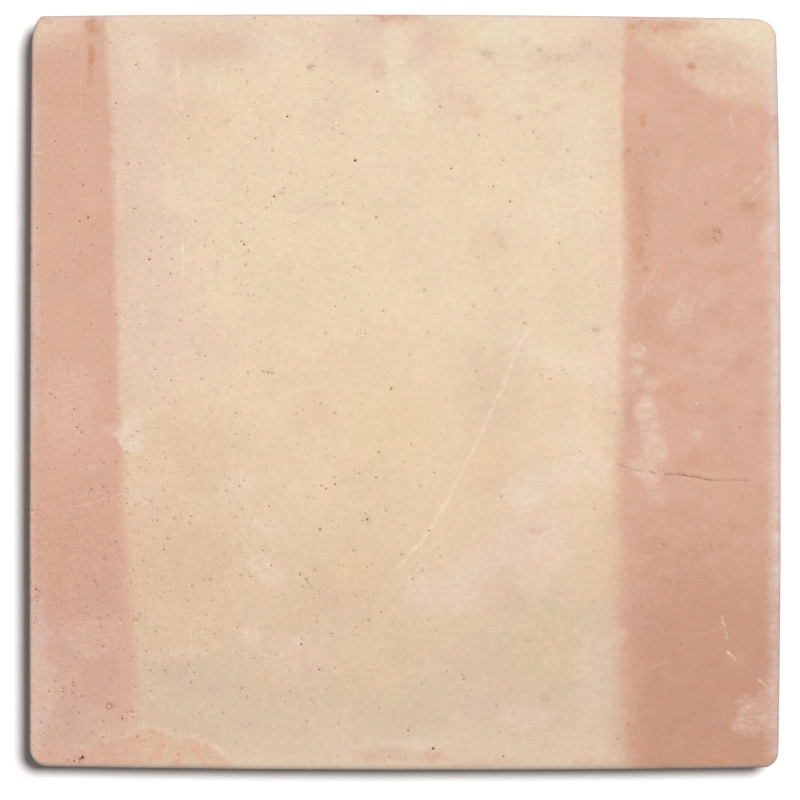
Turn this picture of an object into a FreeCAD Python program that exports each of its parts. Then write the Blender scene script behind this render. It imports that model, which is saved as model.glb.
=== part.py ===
import FreeCAD, Part
import os
import Sketcher

# Hand-pressed terracotta floor tile, one fired piece, in millimetres.
# It lies face up: +Z is up out of the face, +X east and +Y north, and the origin is the middle of its back.

SIZES = [
    ("tile_width", 300.0, "west to east, over the fullest points of both sides"),
    ("tile_depth", 301.6, "south to north, over the fullest points of both sides"),
    ("tile_thickness", 20.0, "back to the top of the crowned face"),
    ("face_crown", 0.6, "fall of the face from the middle of the tile to the middle of a side"),
    ("side_draft", 2.0, "degrees that the sides lean in towards the back"),
    ("face_arris", 4.0, "radius worn on the edge round the face"),
    ("back_arris", 1.5, "radius on the edge round the back"),
    ("northeast_x_setback", 1.3, "how far the corner stands back from the fullest of the east side"),
    ("northeast_y_setback", 1.8, "how far the corner stands back from the fullest of the north side"),
    ("northeast_round", 7.0, "corner radius"),
    ("northwest_x_setback", 1.0, "how far the corner stands back from the fullest of the west side"),
    ("northwest_y_setback", 0.7, "how far the corner stands back from the fullest of the north side"),
    ("northwest_round", 5.0, "corner radius"),
    ("southwest_x_setback", 0.1, "how far the corner stands back from the fullest of the west side"),
    ("southwest_y_setback", 1.5, "how far the corner stands back from the fullest of the south side"),
    ("southwest_round", 7.0, "corner radius"),
    ("southeast_x_setback", 0.7, "how far the corner stands back from the fullest of the east side"),
    ("southeast_y_setback", 1.0, "how far the corner stands back from the fullest of the south side"),
    ("southeast_round", 6.0, "corner radius"),
]

# Each corner, and which way it lies from the middle of the tile.
CORNERS = {"northeast": (1, 1), "northwest": (-1, 1), "southwest": (-1, -1), "southeast": (1, -1)}
# Each side, anticlockwise: the corners it runs between, the axis it closes off and which way it faces.
SIDES = {
    "east": ("southeast", "northeast", "x", 1),
    "north": ("northeast", "northwest", "y", 1),
    "west": ("northwest", "southwest", "x", -1),
    "south": ("southwest", "southeast", "y", -1),
}

# The drafted sides flare from the fullest level, just under the worn edge, up to the face.
FLARE = "(Sizes.face_crown + Sizes.face_arris) * tan(Sizes.side_draft)"
# The curve of the crown runs out past the sides of the tile, and falls away as a parabola does.
CROWN_REACH = "((Sizes.tile_width + Sizes.tile_depth) / 2)"
CROWN_FALL = "(Sizes.face_crown * ((Sizes.tile_width + Sizes.tile_depth) / Sizes.tile_width) ^ 2)"

# Points of a sketch, as its constraints name them.
START, END, CENTRE = 1, 2, 3
ORIGIN = (-1, START)

doc = FreeCAD.newDocument("FloorTile")
sheet = doc.addObject("Spreadsheet::Sheet", "Sizes")
for row, (alias, value, note) in enumerate(SIZES, start=1):
    sheet.set(f"A{row}", alias)
    sheet.set(f"B{row}", str(value))
    sheet.setAlias(f"B{row}", alias)
    sheet.set(f"C{row}", note)
doc.recompute()

body = doc.addObject("PartDesign::Body", "FloorTile")
body.Label = "floor_tile"


def size(alias):
    return float(sheet.get(alias))


def sketch_on(role, name):
    sketch = body.newObject("Sketcher::SketchObject", name)
    plane = next(o for o in body.Origin.OriginFeatures if o.Role == role)
    sketch.AttachmentSupport = (plane, [""])
    sketch.MapMode = "FlatFace"
    return sketch


# Ties a point of a sketch to a formula for its x and one for its y.
def place(sketch, name, point, x_formula, y_formula):
    for axis, formula in (("X", x_formula), ("Y", y_formula)):
        value = getattr(sketch.getPoint(*point), axis.lower())
        index = sketch.addConstraint(Sketcher.Constraint(f"Distance{axis}", *ORIGIN, *point, value))
        sketch.renameConstraint(index, f"{name}_{axis}")
        sketch.setExpression(f"Constraints.{name}_{axis}", formula)


# Closes a loop of lines by joining each one's end to the start of the next.
def close_loop(sketch, lines):
    for line, following in zip(lines, lines[1:] + lines[:1]):
        sketch.addConstraint(Sketcher.Constraint("Coincident", line, END, following, START))


# A shallow parabola from its three control points: its number in the sketch, and its middle control point.
def shallow_curve(sketch, *points):
    curve = Part.BezierCurve()
    curve.setPoles([FreeCAD.Vector(x, y, 0) for x, y in points])
    number = sketch.addGeometry(curve.toBSpline(), False)
    sketch.exposeInternalGeometry(number)
    return number, (number + 2, CENTRE)


# Face outline: four bulging sides, each touching its fullest line once on the way between its two corners.
# For that, a side's control point stands outside the line by the mean proportional of its two setbacks.
def face_outline():
    sketch = sketch_on("XY_Plane", "FaceOutline")
    sketch.setExpression("AttachmentOffset.Base.z", "Sizes.tile_thickness")
    halves = size("tile_width") / 2, size("tile_depth") / 2
    fullest = {"x": f"(Sizes.tile_width / 2 + {FLARE})", "y": f"(Sizes.tile_depth / 2 + {FLARE})"}
    rough = {}
    formulas = {}
    for corner, ways in CORNERS.items():
        rough[corner] = [way * half for way, half in zip(ways, halves)]
        formulas[corner] = [
            f"{way} * ({fullest[axis]} - Sizes.{corner}_{axis}_setback)" for way, axis in zip(ways, "xy")
        ]
    curves = []
    for start, end, axis, way in SIDES.values():
        middle = [(a + b) / 2 for a, b in zip(rough[start], rough[end])]
        curves.append(shallow_curve(sketch, rough[start], middle, rough[end]))
    close_loop(sketch, [number for number, control in curves])
    for (side, (start, end, axis, way)), (number, control) in zip(SIDES.items(), curves):
        bulge = f"sqrt(Sizes.{start}_{axis}_setback * Sizes.{end}_{axis}_setback)"
        middle = [f"({a} + {b}) / 2" for a, b in zip(formulas[start], formulas[end])]
        middle["xy".index(axis)] = f"{way} * ({fullest[axis]} + {bulge})"
        place(sketch, start, (number, START), *formulas[start])
        place(sketch, side, control, *middle)
    doc.recompute()
    return sketch


# Slab: the outline carried down to the back, drawing in by the draft as it goes.
def slab(outline):
    pad = body.newObject("PartDesign::Pad", "Slab")
    pad.Profile = outline
    pad.Reversed = True
    pad.setExpression("Length", "Sizes.tile_thickness")
    pad.setExpression("TaperAngle", "-Sizes.side_draft")
    doc.recompute()
    return pad


def edge_names(base, wanted):
    return [f"Edge{i}" for i, edge in enumerate(base.Shape.Edges, start=1) if wanted(edge)]


def fillet(name, base, edges, radius):
    feature = body.newObject("PartDesign::Fillet", name)
    feature.Base = (base, edges)
    feature.setExpression("Radius", f"Sizes.{radius}")
    doc.recompute()
    return feature


# Corners: each of the four upright edges has a rounding of its own.
def rounded_corners(base):
    for corner, (way_x, way_y) in CORNERS.items():
        def upright_there(edge):
            middle = edge.CenterOfMass
            upright = edge.BoundBox.ZLength > size("tile_thickness") / 2
            return upright and middle.x * way_x > 0 and middle.y * way_y > 0

        base = fillet(f"{corner.title()}Corner", base, edge_names(base, upright_there), f"{corner}_round")
    return base


# Crown section: a shallow curve across the tile, closed by a lid above the face.
def crown_section():
    sketch = sketch_on("XZ_Plane", "CrownSection")
    sketch.setExpression("AttachmentOffset.Base.z", CROWN_REACH)
    reach = size("tile_width")
    top = size("tile_thickness")
    rim = top - size("face_crown")
    lid = top + size("face_crown")
    dome, control = shallow_curve(sketch, (-reach, rim), (0, top), (reach, rim))
    points = [FreeCAD.Vector(x, z, 0) for x, z in ((reach, rim), (reach, lid), (-reach, lid), (-reach, rim))]
    east, over, west = (
        sketch.addGeometry(Part.LineSegment(a, b), False) for a, b in zip(points, points[1:])
    )
    close_loop(sketch, [dome, east, over, west])
    place(sketch, "control", control, "0", "Sizes.tile_thickness")
    place(sketch, "east_rim", (east, START), CROWN_REACH, f"Sizes.tile_thickness - 2 * {CROWN_FALL}")
    place(sketch, "east_lid", (over, START), CROWN_REACH, f"Sizes.tile_thickness + {CROWN_FALL}")
    place(sketch, "west_lid", (west, START), f"-{CROWN_REACH}", f"Sizes.tile_thickness + {CROWN_FALL}")
    place(sketch, "west_rim", (west, END), f"-{CROWN_REACH}", f"Sizes.tile_thickness - 2 * {CROWN_FALL}")
    return sketch


# Crown path: the same curve from south to north over the middle of the tile.
def crown_path():
    sketch = sketch_on("YZ_Plane", "CrownPath")
    reach = size("tile_depth")
    top = size("tile_thickness")
    rim = top - size("face_crown")
    curve, control = shallow_curve(sketch, (-reach, rim), (0, top), (reach, rim))
    place(sketch, "south_rim", (curve, START), f"-{CROWN_REACH}", f"Sizes.tile_thickness - {CROWN_FALL}")
    place(sketch, "control", control, "0", f"Sizes.tile_thickness + {CROWN_FALL}")
    place(sketch, "north_rim", (curve, END), CROWN_REACH, f"Sizes.tile_thickness - {CROWN_FALL}")
    return sketch


# Crown: the face is struck off to a very shallow dome by drawing the section along the path.
def crowned_face(base):
    section = crown_section()
    path = crown_path()
    doc.recompute()
    crown = body.newObject("PartDesign::SubtractivePipe", "Crown")
    crown.Profile = section
    crown.Spine = (path, ["Edge1"])
    crown.Mode = "Fixed"
    doc.recompute()
    if crown.Shape.Volume >= base.Shape.Volume:
        raise RuntimeError("the crown took nothing off the face")
    return crown


# Rounds every edge where the given face meets another.
def round_off(name, base, face, radius):
    def borders(edge):
        neighbours = base.Shape.ancestorsOfType(edge, Part.Face)
        return len(neighbours) > 1 and any(face.isSame(other) for other in neighbours)

    return fillet(name, base, edge_names(base, borders), radius)


# Worn edges: a generous rounding right round the face, and a smaller one right round the back.
def worn_edges(base):
    face = max(base.Shape.Faces, key=lambda f: f.CenterOfMass.z)
    base = round_off("FaceArris", base, face, "face_arris")
    back = min(base.Shape.Faces, key=lambda f: f.CenterOfMass.z)
    return round_off("BackArris", base, back, "back_arris")


worn_edges(crowned_face(rounded_corners(slab(face_outline()))))

for item in doc.Objects:
    if "Invalid" in item.State or "Error" in item.State:
        raise RuntimeError(f"{item.Name} did not build: {item.State}")
if body.Shape.isNull() or not body.Shape.isValid() or len(body.Shape.Solids) != 1:
    raise RuntimeError("the tile is not one sound solid")

box = body.Shape.optimalBoundingBox()
print(f"{body.Label}: {box.XLength:.2f} x {box.YLength:.2f} x {box.ZLength:.2f} mm")
print(f"{body.Label}: {body.Shape.Volume / 1000:.1f} cubic centimetres")
os.makedirs("parts", exist_ok=True)
body.Shape.exportStep(f"parts/{body.Label}.step")
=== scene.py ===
import math

import bpy
import numpy as np
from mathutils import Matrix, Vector, kdtree, noise
from mathutils.geometry import delaunay_2d_cdt


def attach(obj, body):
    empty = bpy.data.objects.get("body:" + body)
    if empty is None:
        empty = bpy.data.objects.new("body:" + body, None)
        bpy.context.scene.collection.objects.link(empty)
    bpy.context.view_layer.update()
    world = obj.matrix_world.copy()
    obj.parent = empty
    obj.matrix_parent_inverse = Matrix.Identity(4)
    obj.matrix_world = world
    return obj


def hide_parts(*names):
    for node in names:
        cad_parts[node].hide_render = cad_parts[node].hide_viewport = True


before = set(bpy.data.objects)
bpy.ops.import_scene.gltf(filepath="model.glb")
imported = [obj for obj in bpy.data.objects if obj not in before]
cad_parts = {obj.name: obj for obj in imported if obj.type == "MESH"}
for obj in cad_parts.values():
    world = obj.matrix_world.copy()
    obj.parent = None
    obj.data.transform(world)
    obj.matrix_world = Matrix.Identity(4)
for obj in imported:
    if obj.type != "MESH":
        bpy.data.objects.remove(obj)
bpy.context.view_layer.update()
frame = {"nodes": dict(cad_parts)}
print("frame loaded with", ", ".join(frame["nodes"]))

mm = 0.001
draws = np.random.default_rng(41)

# The camera looks straight down, and places on the face are given in pixels of its picture.
lookDown = {
    "pixels": 800,  # picture width
    "pixel": 0.3994 * mm,  # width of one pixel at the fullest level of the sides
    "level": 15.4 * mm,  # that level
    "faceLevel": 19.6 * mm,
    "middle": (-2.1 * mm, -3.15 * mm),  # point of the tile under the middle of the picture
    "nudge": (-0.1, 0.55),  # pixels from where a mark was read to where it shows
    "lens": 300.0,
    "sensor": 36.0,
}
cameraDrop = lookDown["pixel"] * lookDown["pixels"] * lookDown["lens"] / lookDown["sensor"]
cameraHeight = lookDown["level"] + cameraDrop


def toPicture(points):
    nearer = cameraDrop / (cameraHeight - points[:, 2])
    across = (points[:, 0] - lookDown["middle"][0]) * nearer / lookDown["pixel"]
    up = (points[:, 1] - lookDown["middle"][1]) * nearer / lookDown["pixel"]
    return lookDown["pixels"] / 2 + across, lookDown["pixels"] / 2 - up


def toFace(spots):
    spots = np.atleast_2d(np.array(spots, float))[:, :2]
    pixel = lookDown["pixel"] * (cameraHeight - lookDown["faceLevel"]) / cameraDrop
    across, down = (spots + lookDown["nudge"] - lookDown["pixels"] / 2).T * pixel
    return np.stack([lookDown["middle"][0] + across, lookDown["middle"][1] - down], 1)


def smoothNoise(x, y, size, layer):
    places = zip((x / size).tolist(), (y / size).tolist())
    return np.array([noise.noise((a, b, layer)) for a, b in places])


def ramp(value, low, high):  # 0 at low, 1 at high, smooth between
    share = np.clip((value - low) / (high - low), 0, 1)
    return share * share * (3 - 2 * share)


def flatTree(spots):  # finds the nearest of these spots
    tree = kdtree.KDTree(len(spots))
    for number, spot in enumerate(spots):
        tree.insert((*spot, 0), number)
    tree.balance()
    return tree


def placed(name, data):
    made = bpy.data.objects.new(name, data)
    bpy.context.scene.collection.objects.link(made)
    return made


# Shape of the fired tile. Its main sizes are the frame's, and the rest is wear of its own.
tileShape = {
    "width": 300.0 * mm,
    "depth": 301.6 * mm,
    "thickness": 20.0 * mm,
    "crown": 0.6 * mm,
    "draft": math.tan(math.radians(2.0)),
    "backArris": 1.5 * mm,
    # each corner: which way it lies, its set-back in x and y, and how far its curve reaches in x and y, in mm
    "corners": [
        (1, 1, 2.0, 1.8, 9.0, 7.0),
        (-1, 1, 1.0, 0.7, 4.6, 12.5),
        (-1, -1, 0.1, 1.5, 7.0, 7.0),
        (1, -1, 1.0, 1.0, 6.0, 6.0),
    ],
    # by the way each side faces: how flat its bulge runs, and the worn radius of the face's edge in mm
    "bulge": {(1, 0): 3.0, (0, 1): 2.0, (-1, 0): 2.0, (0, -1): 2.0},
    "arris": {(1, 0): 4.0, (0, 1): 2.0, (-1, 0): 1.4, (0, -1): 2.6},
    "wear": 0.22,  # how much that radius comes and goes
    "wearSizes": (24 * mm, 5 * mm),
    "wander": 0.04 * mm,  # how far the outline strays
    "wanderSize": 35 * mm,
    # hollows left by the hand that pressed the face, and those of the back: depth, size, layer of the noise
    "faceHollows": [(0.15 * mm, 42 * mm, 1.7), (0.025 * mm, 9 * mm, 6.2)],
    "backHollows": [(0.12 * mm, 14 * mm, 3.3), (0.05 * mm, 5 * mm, 4.4)],
    # lumps, drag marks and sand on the sides: depth, size along, size up, layer of the noise
    "sides": [
        (0.22 * mm, 8 * mm, 4 * mm, 0),
        (0.20 * mm, 50 * mm, 1.2 * mm, 40),
        (0.10 * mm, 2.5 * mm, 2.5 * mm, 9),
    ],
    "columns": 960,  # points round the edge
    "pitch": 1.42 * mm,  # spacing of points on the face
    "backPitch": 3.2 * mm,
    "markRoom": 0.55 * mm,  # kept free of those points round each mark
}


def tileOutline():
    half = np.array((tileShape["width"], tileShape["depth"])) / 2
    corners = tileShape["corners"]
    sideSteps, cornerSteps = 400, 40
    sides = []
    for start, end in zip(corners, corners[1:] + corners[:1]):
        runs = 0 if start[1] == end[1] else 1  # axis the side runs along; it faces along the other
        faces = 1 - runs
        first, last = (c[runs] * (half[runs] - c[2 + runs] * mm) for c in (start, end))
        length = abs(last - first)
        t = np.linspace(start[4 + runs] * mm / length, 1 - end[4 + runs] * mm / length, sideSteps)
        side = np.zeros((len(t), 2))
        side[:, runs] = first + (last - first) * t
        way = (start[0], 0) if faces == 0 else (0, start[1])
        power = tileShape["bulge"][way]
        ends = [(corner[2 + faces] * mm) ** (1 / power) for corner in (start, end)]
        side[:, faces] = start[faces] * (half[faces] - np.abs((1 - t) * ends[0] - t * ends[1]) ** power)
        sides.append(side)
    path = []
    quarterArm = 0.5523  # handle length that makes a quarter circle
    for number, side in enumerate(sides):
        after = sides[(number + 1) % 4]
        corner = corners[(number + 1) % 4]
        leave, arrive = side[-1] - side[-2], after[1] - after[0]
        runs = int(abs(leave[1]) > abs(leave[0]))
        arms = [quarterArm * corner[4 + axis] * mm for axis in (runs, 1 - runs)]
        handles = [side[-1], side[-1] + leave / np.linalg.norm(leave) * arms[0],
                   after[0] - arrive / np.linalg.norm(arrive) * arms[1], after[0]]
        t = np.linspace(0, 1, cornerSteps + 2)[1:-1, None]
        arc = sum(k * (1 - t) ** (3 - n) * t ** n * handles[n] for n, k in enumerate((1, 3, 3, 1)))
        path += [side, arc]
    path = np.vstack(path)
    steps = np.linalg.norm(np.roll(path, -1, 0) - path, axis=1)
    travelled = np.concatenate([[0], np.cumsum(steps)])
    closed = np.vstack([path, path[:1]])
    stops = np.linspace(0, travelled[-1], tileShape["columns"], endpoint=False)
    outline = np.stack([np.interp(stops, travelled, closed[:, k]) for k in (0, 1)], 1)
    travel = np.roll(outline, -1, 0) - np.roll(outline, 1, 0)
    travel /= np.linalg.norm(travel, axis=1)[:, None]
    inward = np.stack([-travel[:, 1], travel[:, 0]], 1)
    wander = tileShape["wander"] * (1 + smoothNoise(*outline.T, tileShape["wanderSize"], 2.3))
    return outline + inward * wander[:, None], inward


def arrisRound(outline, inward):
    radius = np.zeros(len(outline))
    for way, sideRadius in tileShape["arris"].items():
        radius += sideRadius * mm * np.clip(-inward @ np.array(way), 0, None) ** 2
    broad, fine = tileShape["wearSizes"]
    wear = 0.6 * smoothNoise(*outline.T, broad, 5.7) + 0.4 * smoothNoise(*outline.T, fine, 8.1)
    return radius * (1 + tileShape["wear"] * wear)


def hollowed(x, y, hollows):
    return sum(depth * (1 + smoothNoise(x, y, size, layer)) for depth, size, layer in hollows)


def faceHeight(x, y):
    fall = tileShape["crown"] * (x * x + y * y) / (tileShape["width"] / 2) ** 2
    return tileShape["thickness"] - fall - hollowed(x, y, tileShape["faceHollows"])


# Pinholes in the face, by how dark their painted shade shows, as picture pixels.
pinholes = {
    "open": [(355, 160), (433, 748), (82, 757.5)],
    "deep": [
        (88, 217), (149, 259), (244, 244), (391, 388), (367, 519), (335, 484), (301, 644), (36, 589),
        (287, 116), (80, 758.5), (82.3, 756.3), (81, 760), (83, 757.5), (274, 196), (451, 168), (320, 529),
        (377, 91),
    ],
    "clear": [
        (378, 452), (319, 669), (77, 427), (63, 691), (503, 756), (136, 64), (429, 530), (376, 477),
        (134, 208), (250, 576), (306, 579), (137, 736), (300, 574), (408, 730), (83, 185), (326, 488),
        (493, 186), (440, 106), (376, 217), (33, 594), (72, 693), (272, 150), (510, 201),
    ],
    "plain": [
        (101, 190), (255, 138), (342, 133), (479, 135), (503, 160), (533, 132), (567, 150), (590, 177),
        (161, 237), (195, 221), (213, 241), (171, 259), (171, 380), (201, 379), (205, 356), (51, 394),
        (241, 241), (245, 265), (241, 223), (294, 223), (343, 203), (354, 267), (344, 297), (335, 306),
        (383, 311), (365, 333), (325, 333), (268, 372), (272, 373), (263, 371), (390, 390), (478, 257),
        (559, 243), (495, 290), (473, 306), (424, 290), (524, 323), (476, 371), (550, 379), (600, 211),
        (705, 203), (648, 230), (647, 235), (81, 432), (118, 408), (137, 431), (126, 452), (165, 458),
        (103, 487), (107, 492), (126, 488), (150, 501), (135, 505), (129, 514), (191, 516), (189, 523),
        (174, 518), (157, 520), (167, 538), (143, 560), (210, 579), (104, 558), (95, 581), (130, 583),
        (334, 413), (359, 473), (334, 477), (365, 513), (386, 510), (269, 506), (239, 486), (244, 480),
        (226, 491), (242, 509), (401, 554), (353, 550), (240, 575), (314, 570), (411, 444), (434, 472),
        (440, 556), (422, 570), (412, 579), (501, 496), (580, 451), (594, 509), (614, 413), (739, 427),
        (663, 544), (160, 597), (192, 586), (155, 631), (132, 656), (150, 670), (164, 670), (191, 682),
        (63, 688), (73, 685), (81, 696), (132, 711), (178, 754), (237, 627), (214, 634), (301, 638),
        (335, 668), (326, 689), (290, 691), (331, 633), (368, 620), (356, 627), (381, 612), (389, 757),
        (447, 671), (462, 674), (463, 679), (428, 620), (627, 723), (617, 739), (681, 645), (34, 622),
        (715, 231), (716, 240), (39, 591), (362, 520), (155, 369), (334, 457), (321, 485), (41, 722),
        (367, 567), (719, 232), (271, 565), (223, 713), (263, 550), (180, 320),
    ],
    "faint": [
        (151, 231), (204, 246), (72, 261), (65, 277), (75, 237), (203, 306), (207, 324), (191, 340),
        (197, 353), (63, 359), (71, 357), (67, 370), (109, 293), (273, 239), (294, 239), (363, 206),
        (351, 276), (266, 289), (241, 284), (361, 310), (249, 346), (231, 387), (509, 216), (553, 227),
        (541, 301), (428, 333), (540, 375), (562, 370), (566, 374), (481, 388), (465, 315), (688, 273),
        (128, 454), (146, 500), (167, 508), (153, 538), (146, 527), (192, 585), (137, 544), (72, 525),
        (232, 446), (354, 470), (338, 565), (302, 586), (404, 462), (325, 449), (419, 486), (447, 427),
        (552, 458), (594, 551), (404, 525), (769, 559), (96, 582), (119, 648), (98, 618), (107, 615),
        (100, 627), (75, 657), (38, 679), (96, 663), (127, 713), (135, 687), (214, 620), (206, 651),
        (289, 671), (311, 700), (287, 653), (316, 616), (316, 622), (357, 634), (356, 596), (328, 588),
        (303, 586), (311, 587), (274, 596), (306, 721), (249, 724), (378, 709), (337, 757), (246, 697),
        (436, 630), (421, 684), (530, 724), (593, 601), (509, 689), (499, 733), (589, 732), (666, 631),
        (713, 229), (718, 229), (714, 238), (720, 236), (717, 243), (706, 204), (644, 149), (628, 150),
        (657, 155), (641, 188), (722, 175), (307, 68), (309, 66.5), (312, 66), (314, 65), (302, 280),
        (553, 269), (483, 349), (409, 355), (148, 577), (598, 286), (198, 310), (38, 597), (332, 130),
        (669, 255), (537, 138), (496, 706), (36, 596),
    ],
    # each kind: radius and depth in mm, and how dark
    "kinds": {
        "open": (0.58, 0.55, 1.0),
        "deep": (0.43, 0.50, 1.0),
        "clear": (0.36, 0.42, 0.90),
        "plain": (0.31, 0.35, 0.66),
        "faint": (0.26, 0.20, 0.46),
    },
    "uneven": 0.15,  # how much one hole's size differs from the next
    "strays": 130,  # more faint ones, strewn near the others, most of them in the west
    "strayReach": 11,  # pixels
    "strayRadius": (0.18, 0.30),  # mm
    "strayDepth": 0.15,  # mm
    "strayDark": (0.1, 0.5),
}

# Hairline drying crack, in broken lengths: points and how open each one is.
dryingCrack = {
    "runs": [
        ([(617, 464.5), (628, 468), (640, 471.5)], 0.17),
        ([(651, 471.5), (654.5, 473)], 0.62),
        ([(666, 474.3), (675, 474), (683, 475)], 0.42),
        ([(683, 475), (690, 476.3), (696, 476.5), (703, 478.3), (711, 480)], 0.68),
        ([(711, 480), (720, 480.3), (730, 480), (740, 480.2), (750, 481)], 0.19),
    ],
    "step": 0.5 * mm,  # between points along it
    "halfWidth": 0.12 * mm,
    "floor": 0.04 * mm,  # half width of its dark bottom
    "depth": 0.6 * mm,
    "gapeSize": 1.7 * mm,  # it opens and closes along the way at this size
}

# Pale scuffs: points, half width in mm and strength.
scuffs = [
    ([(529, 328), (519, 345), (511, 367), (502, 390), (496, 401), (487, 419), (482, 431), (477, 443),
      (466, 462), (455, 485), (442, 510), (431, 527), (421, 542), (410, 554), (399, 566)], 0.95, 0.46),
    ([(177, 57), (179, 80), (181, 108)], 0.5, 0.42),
    ([(183.5, 238), (183.5, 280)], 0.5, 0.6),
    ([(220, 70), (220, 92)], 0.4, 0.45),
    ([(153, 275), (153, 292)], 0.4, 0.4),
    ([(80, 76), (82, 107)], 0.4, 0.16),
    ([(768, 168), (756, 181), (737, 197)], 1.2, 0.22),
    ([(773, 178), (764, 188), (752, 200)], 0.9, 0.16),
    ([(655, 270), (647, 283), (640, 300)], 0.5, 0.2),
    ([(652, 287), (642, 295), (634, 303)], 0.4, 0.24),
    ([(731, 114), (733, 124), (735, 135)], 0.7, 0.2),
    ([(623, 339), (609, 352)], 0.35, 0.4),
    ([(722, 616), (722.5, 620)], 0.75, 0.42),
    ([(723, 622), (725, 625)], 0.7, 0.6),
    ([(726.5, 632), (728, 637)], 0.6, 0.22),
    ([(729, 652), (731, 654)], 0.6, 0.6),
    ([(733.5, 656), (735.5, 658.5)], 0.5, 0.45),
    ([(759, 680), (762, 682), (766, 685)], 0.5, 0.36),
    ([(33, 152), (41, 153)], 0.5, 0.4),
    ([(81, 469), (99, 464)], 0.35, 0.26),
    ([(82, 474), (97, 470)], 0.3, 0.2),
    ([(246, 559), (253, 565)], 0.7, 0.45),
    ([(700, 285), (694, 303), (690, 312)], 0.7, 0.16),
    ([(655, 295), (670, 285)], 0.7, 0.13),
    ([(688, 288), (678, 305), (668, 318)], 1.2, 0.12),
    ([(712, 290), (700, 312)], 1.2, 0.10),
    ([(634, 345), (638, 352), (644, 349)], 0.8, 0.18),
    ([(645, 347), (646, 349)], 0.6, 0.4),
    ([(660, 262), (650, 276)], 0.8, 0.14),
    ([(625, 560), (660, 552)], 0.7, 0.10),
    ([(690, 636), (722, 628)], 0.8, 0.10),
    ([(630, 676), (668, 660)], 0.8, 0.08),
    ([(614, 629), (607, 640)], 0.6, 0.24),
    ([(66, 500), (100, 492)], 0.6, 0.16),
    ([(70, 508), (108, 497)], 0.5, 0.14),
]
# How a scuff wavers, skips and sinks, and the step between points along it.
scuffTouch = {
    "waver": 0.35 * mm,
    "waverSize": 4 * mm,
    "skipSize": 3.5 * mm,
    "depth": 0.05 * mm,
    "step": 0.8 * mm,
}
# Dots of chalk: place, radius in mm.
chalkDots = [
    (122, 316, 0.5), (129, 299, 0.45), (697, 403, 0.6), (655, 25, 0.45), (202, 467, 0.4), (202, 655, 0.5),
    (270, 612, 0.4), (109, 706, 0.4),
]
# Ring mark round a burnt-out grain.
grainRing = {"place": (109, 706), "radius": 1.8 * mm, "depth": 0.2 * mm, "shadeAndRust": 0.24}


def circlePoints(middle, radius, count, turn=0.0):
    angle = turn + np.arange(count) * 2 * math.pi / count
    return middle + radius * np.stack([np.cos(angle), np.sin(angle)], 1)


def lineRows(points, offsets, step):  # rows of points beside a line over the face
    points = toFace(points)
    lengths = np.concatenate([[0], np.cumsum(np.linalg.norm(np.diff(points, axis=0), axis=1))])
    stops = np.linspace(0, lengths[-1], max(2, int(lengths[-1] / step) + 1))
    line = np.stack([np.interp(stops, lengths, points[:, k]) for k in (0, 1)], 1)
    travel = np.gradient(line, axis=0)
    travel /= np.linalg.norm(travel, axis=1)[:, None]
    across = np.stack([-travel[:, 1], travel[:, 0]], 1)
    return np.vstack([line + across * offset for offset in offsets])


def pinholeList():  # each hole: place, radius, depth, how dark
    found = []
    for kind, (radius, depth, shadeAndRust) in pinholes["kinds"].items():
        for spot in toFace(pinholes[kind]):
            size = draws.uniform(1 - pinholes["uneven"], 1 + pinholes["uneven"])
            found.append((spot, radius * mm * size, depth * mm, shadeAndRust))
    listed = sorted(pinholes["plain"] + pinholes["faint"])
    for _ in range(pinholes["strays"]):
        near = listed[int(len(listed) * draws.uniform() ** 1.4)]  # the power favours the west
        spot = toFace(np.array(near) + pinholes["strayReach"] * draws.normal(size=2))[0]
        radius = draws.uniform(*pinholes["strayRadius"]) * mm
        found.append((spot, radius, pinholes["strayDepth"] * mm, draws.uniform(*pinholes["strayDark"])))
    return found


def dotPoints(spot, radius):  # mesh points that carry one round mark
    return [spot[None], circlePoints(spot, 0.6 * radius, 6), circlePoints(spot, radius, 9, 0.2)]


def markPoints(holes):
    points = []
    for spot, radius, _, _ in holes:
        points += dotPoints(spot, radius)
    crack = dryingCrack
    crackRows = (-crack["halfWidth"], -crack["floor"], crack["floor"], crack["halfWidth"])
    for run, _ in crack["runs"]:
        points.append(lineRows(run, crackRows, crack["step"]))
    scuffRows = np.array((-1, -0.5, 0, 0.5, 1))
    for line, halfWidth, _ in scuffs:
        points.append(lineRows(line, scuffRows * halfWidth * mm, scuffTouch["step"]))
    for u, v, radius in chalkDots:
        points += dotPoints(toFace((u, v))[0], radius * mm)
    for share, count in ((0.35, 6), (0.65, 12), (1.0, 14)):
        points.append(circlePoints(toFace(grainRing["place"])[0], share * grainRing["radius"], count))
    return np.vstack(points)


def distanceTo(x, y, spot):
    return np.hypot(x - spot[0], y - spot[1])


def distanceToLine(x, y, line):
    line = toFace(line)
    best = np.full(len(x), 1.0)
    for a, b in zip(line, line[1:]):
        run = b - a
        share = np.clip(((x - a[0]) * run[0] + (y - a[1]) * run[1]) / (run @ run), 0, 1)
        best = np.minimum(best, distanceTo(x, y, (a[0] + share * run[0], a[1] + share * run[1])))
    return best


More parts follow.
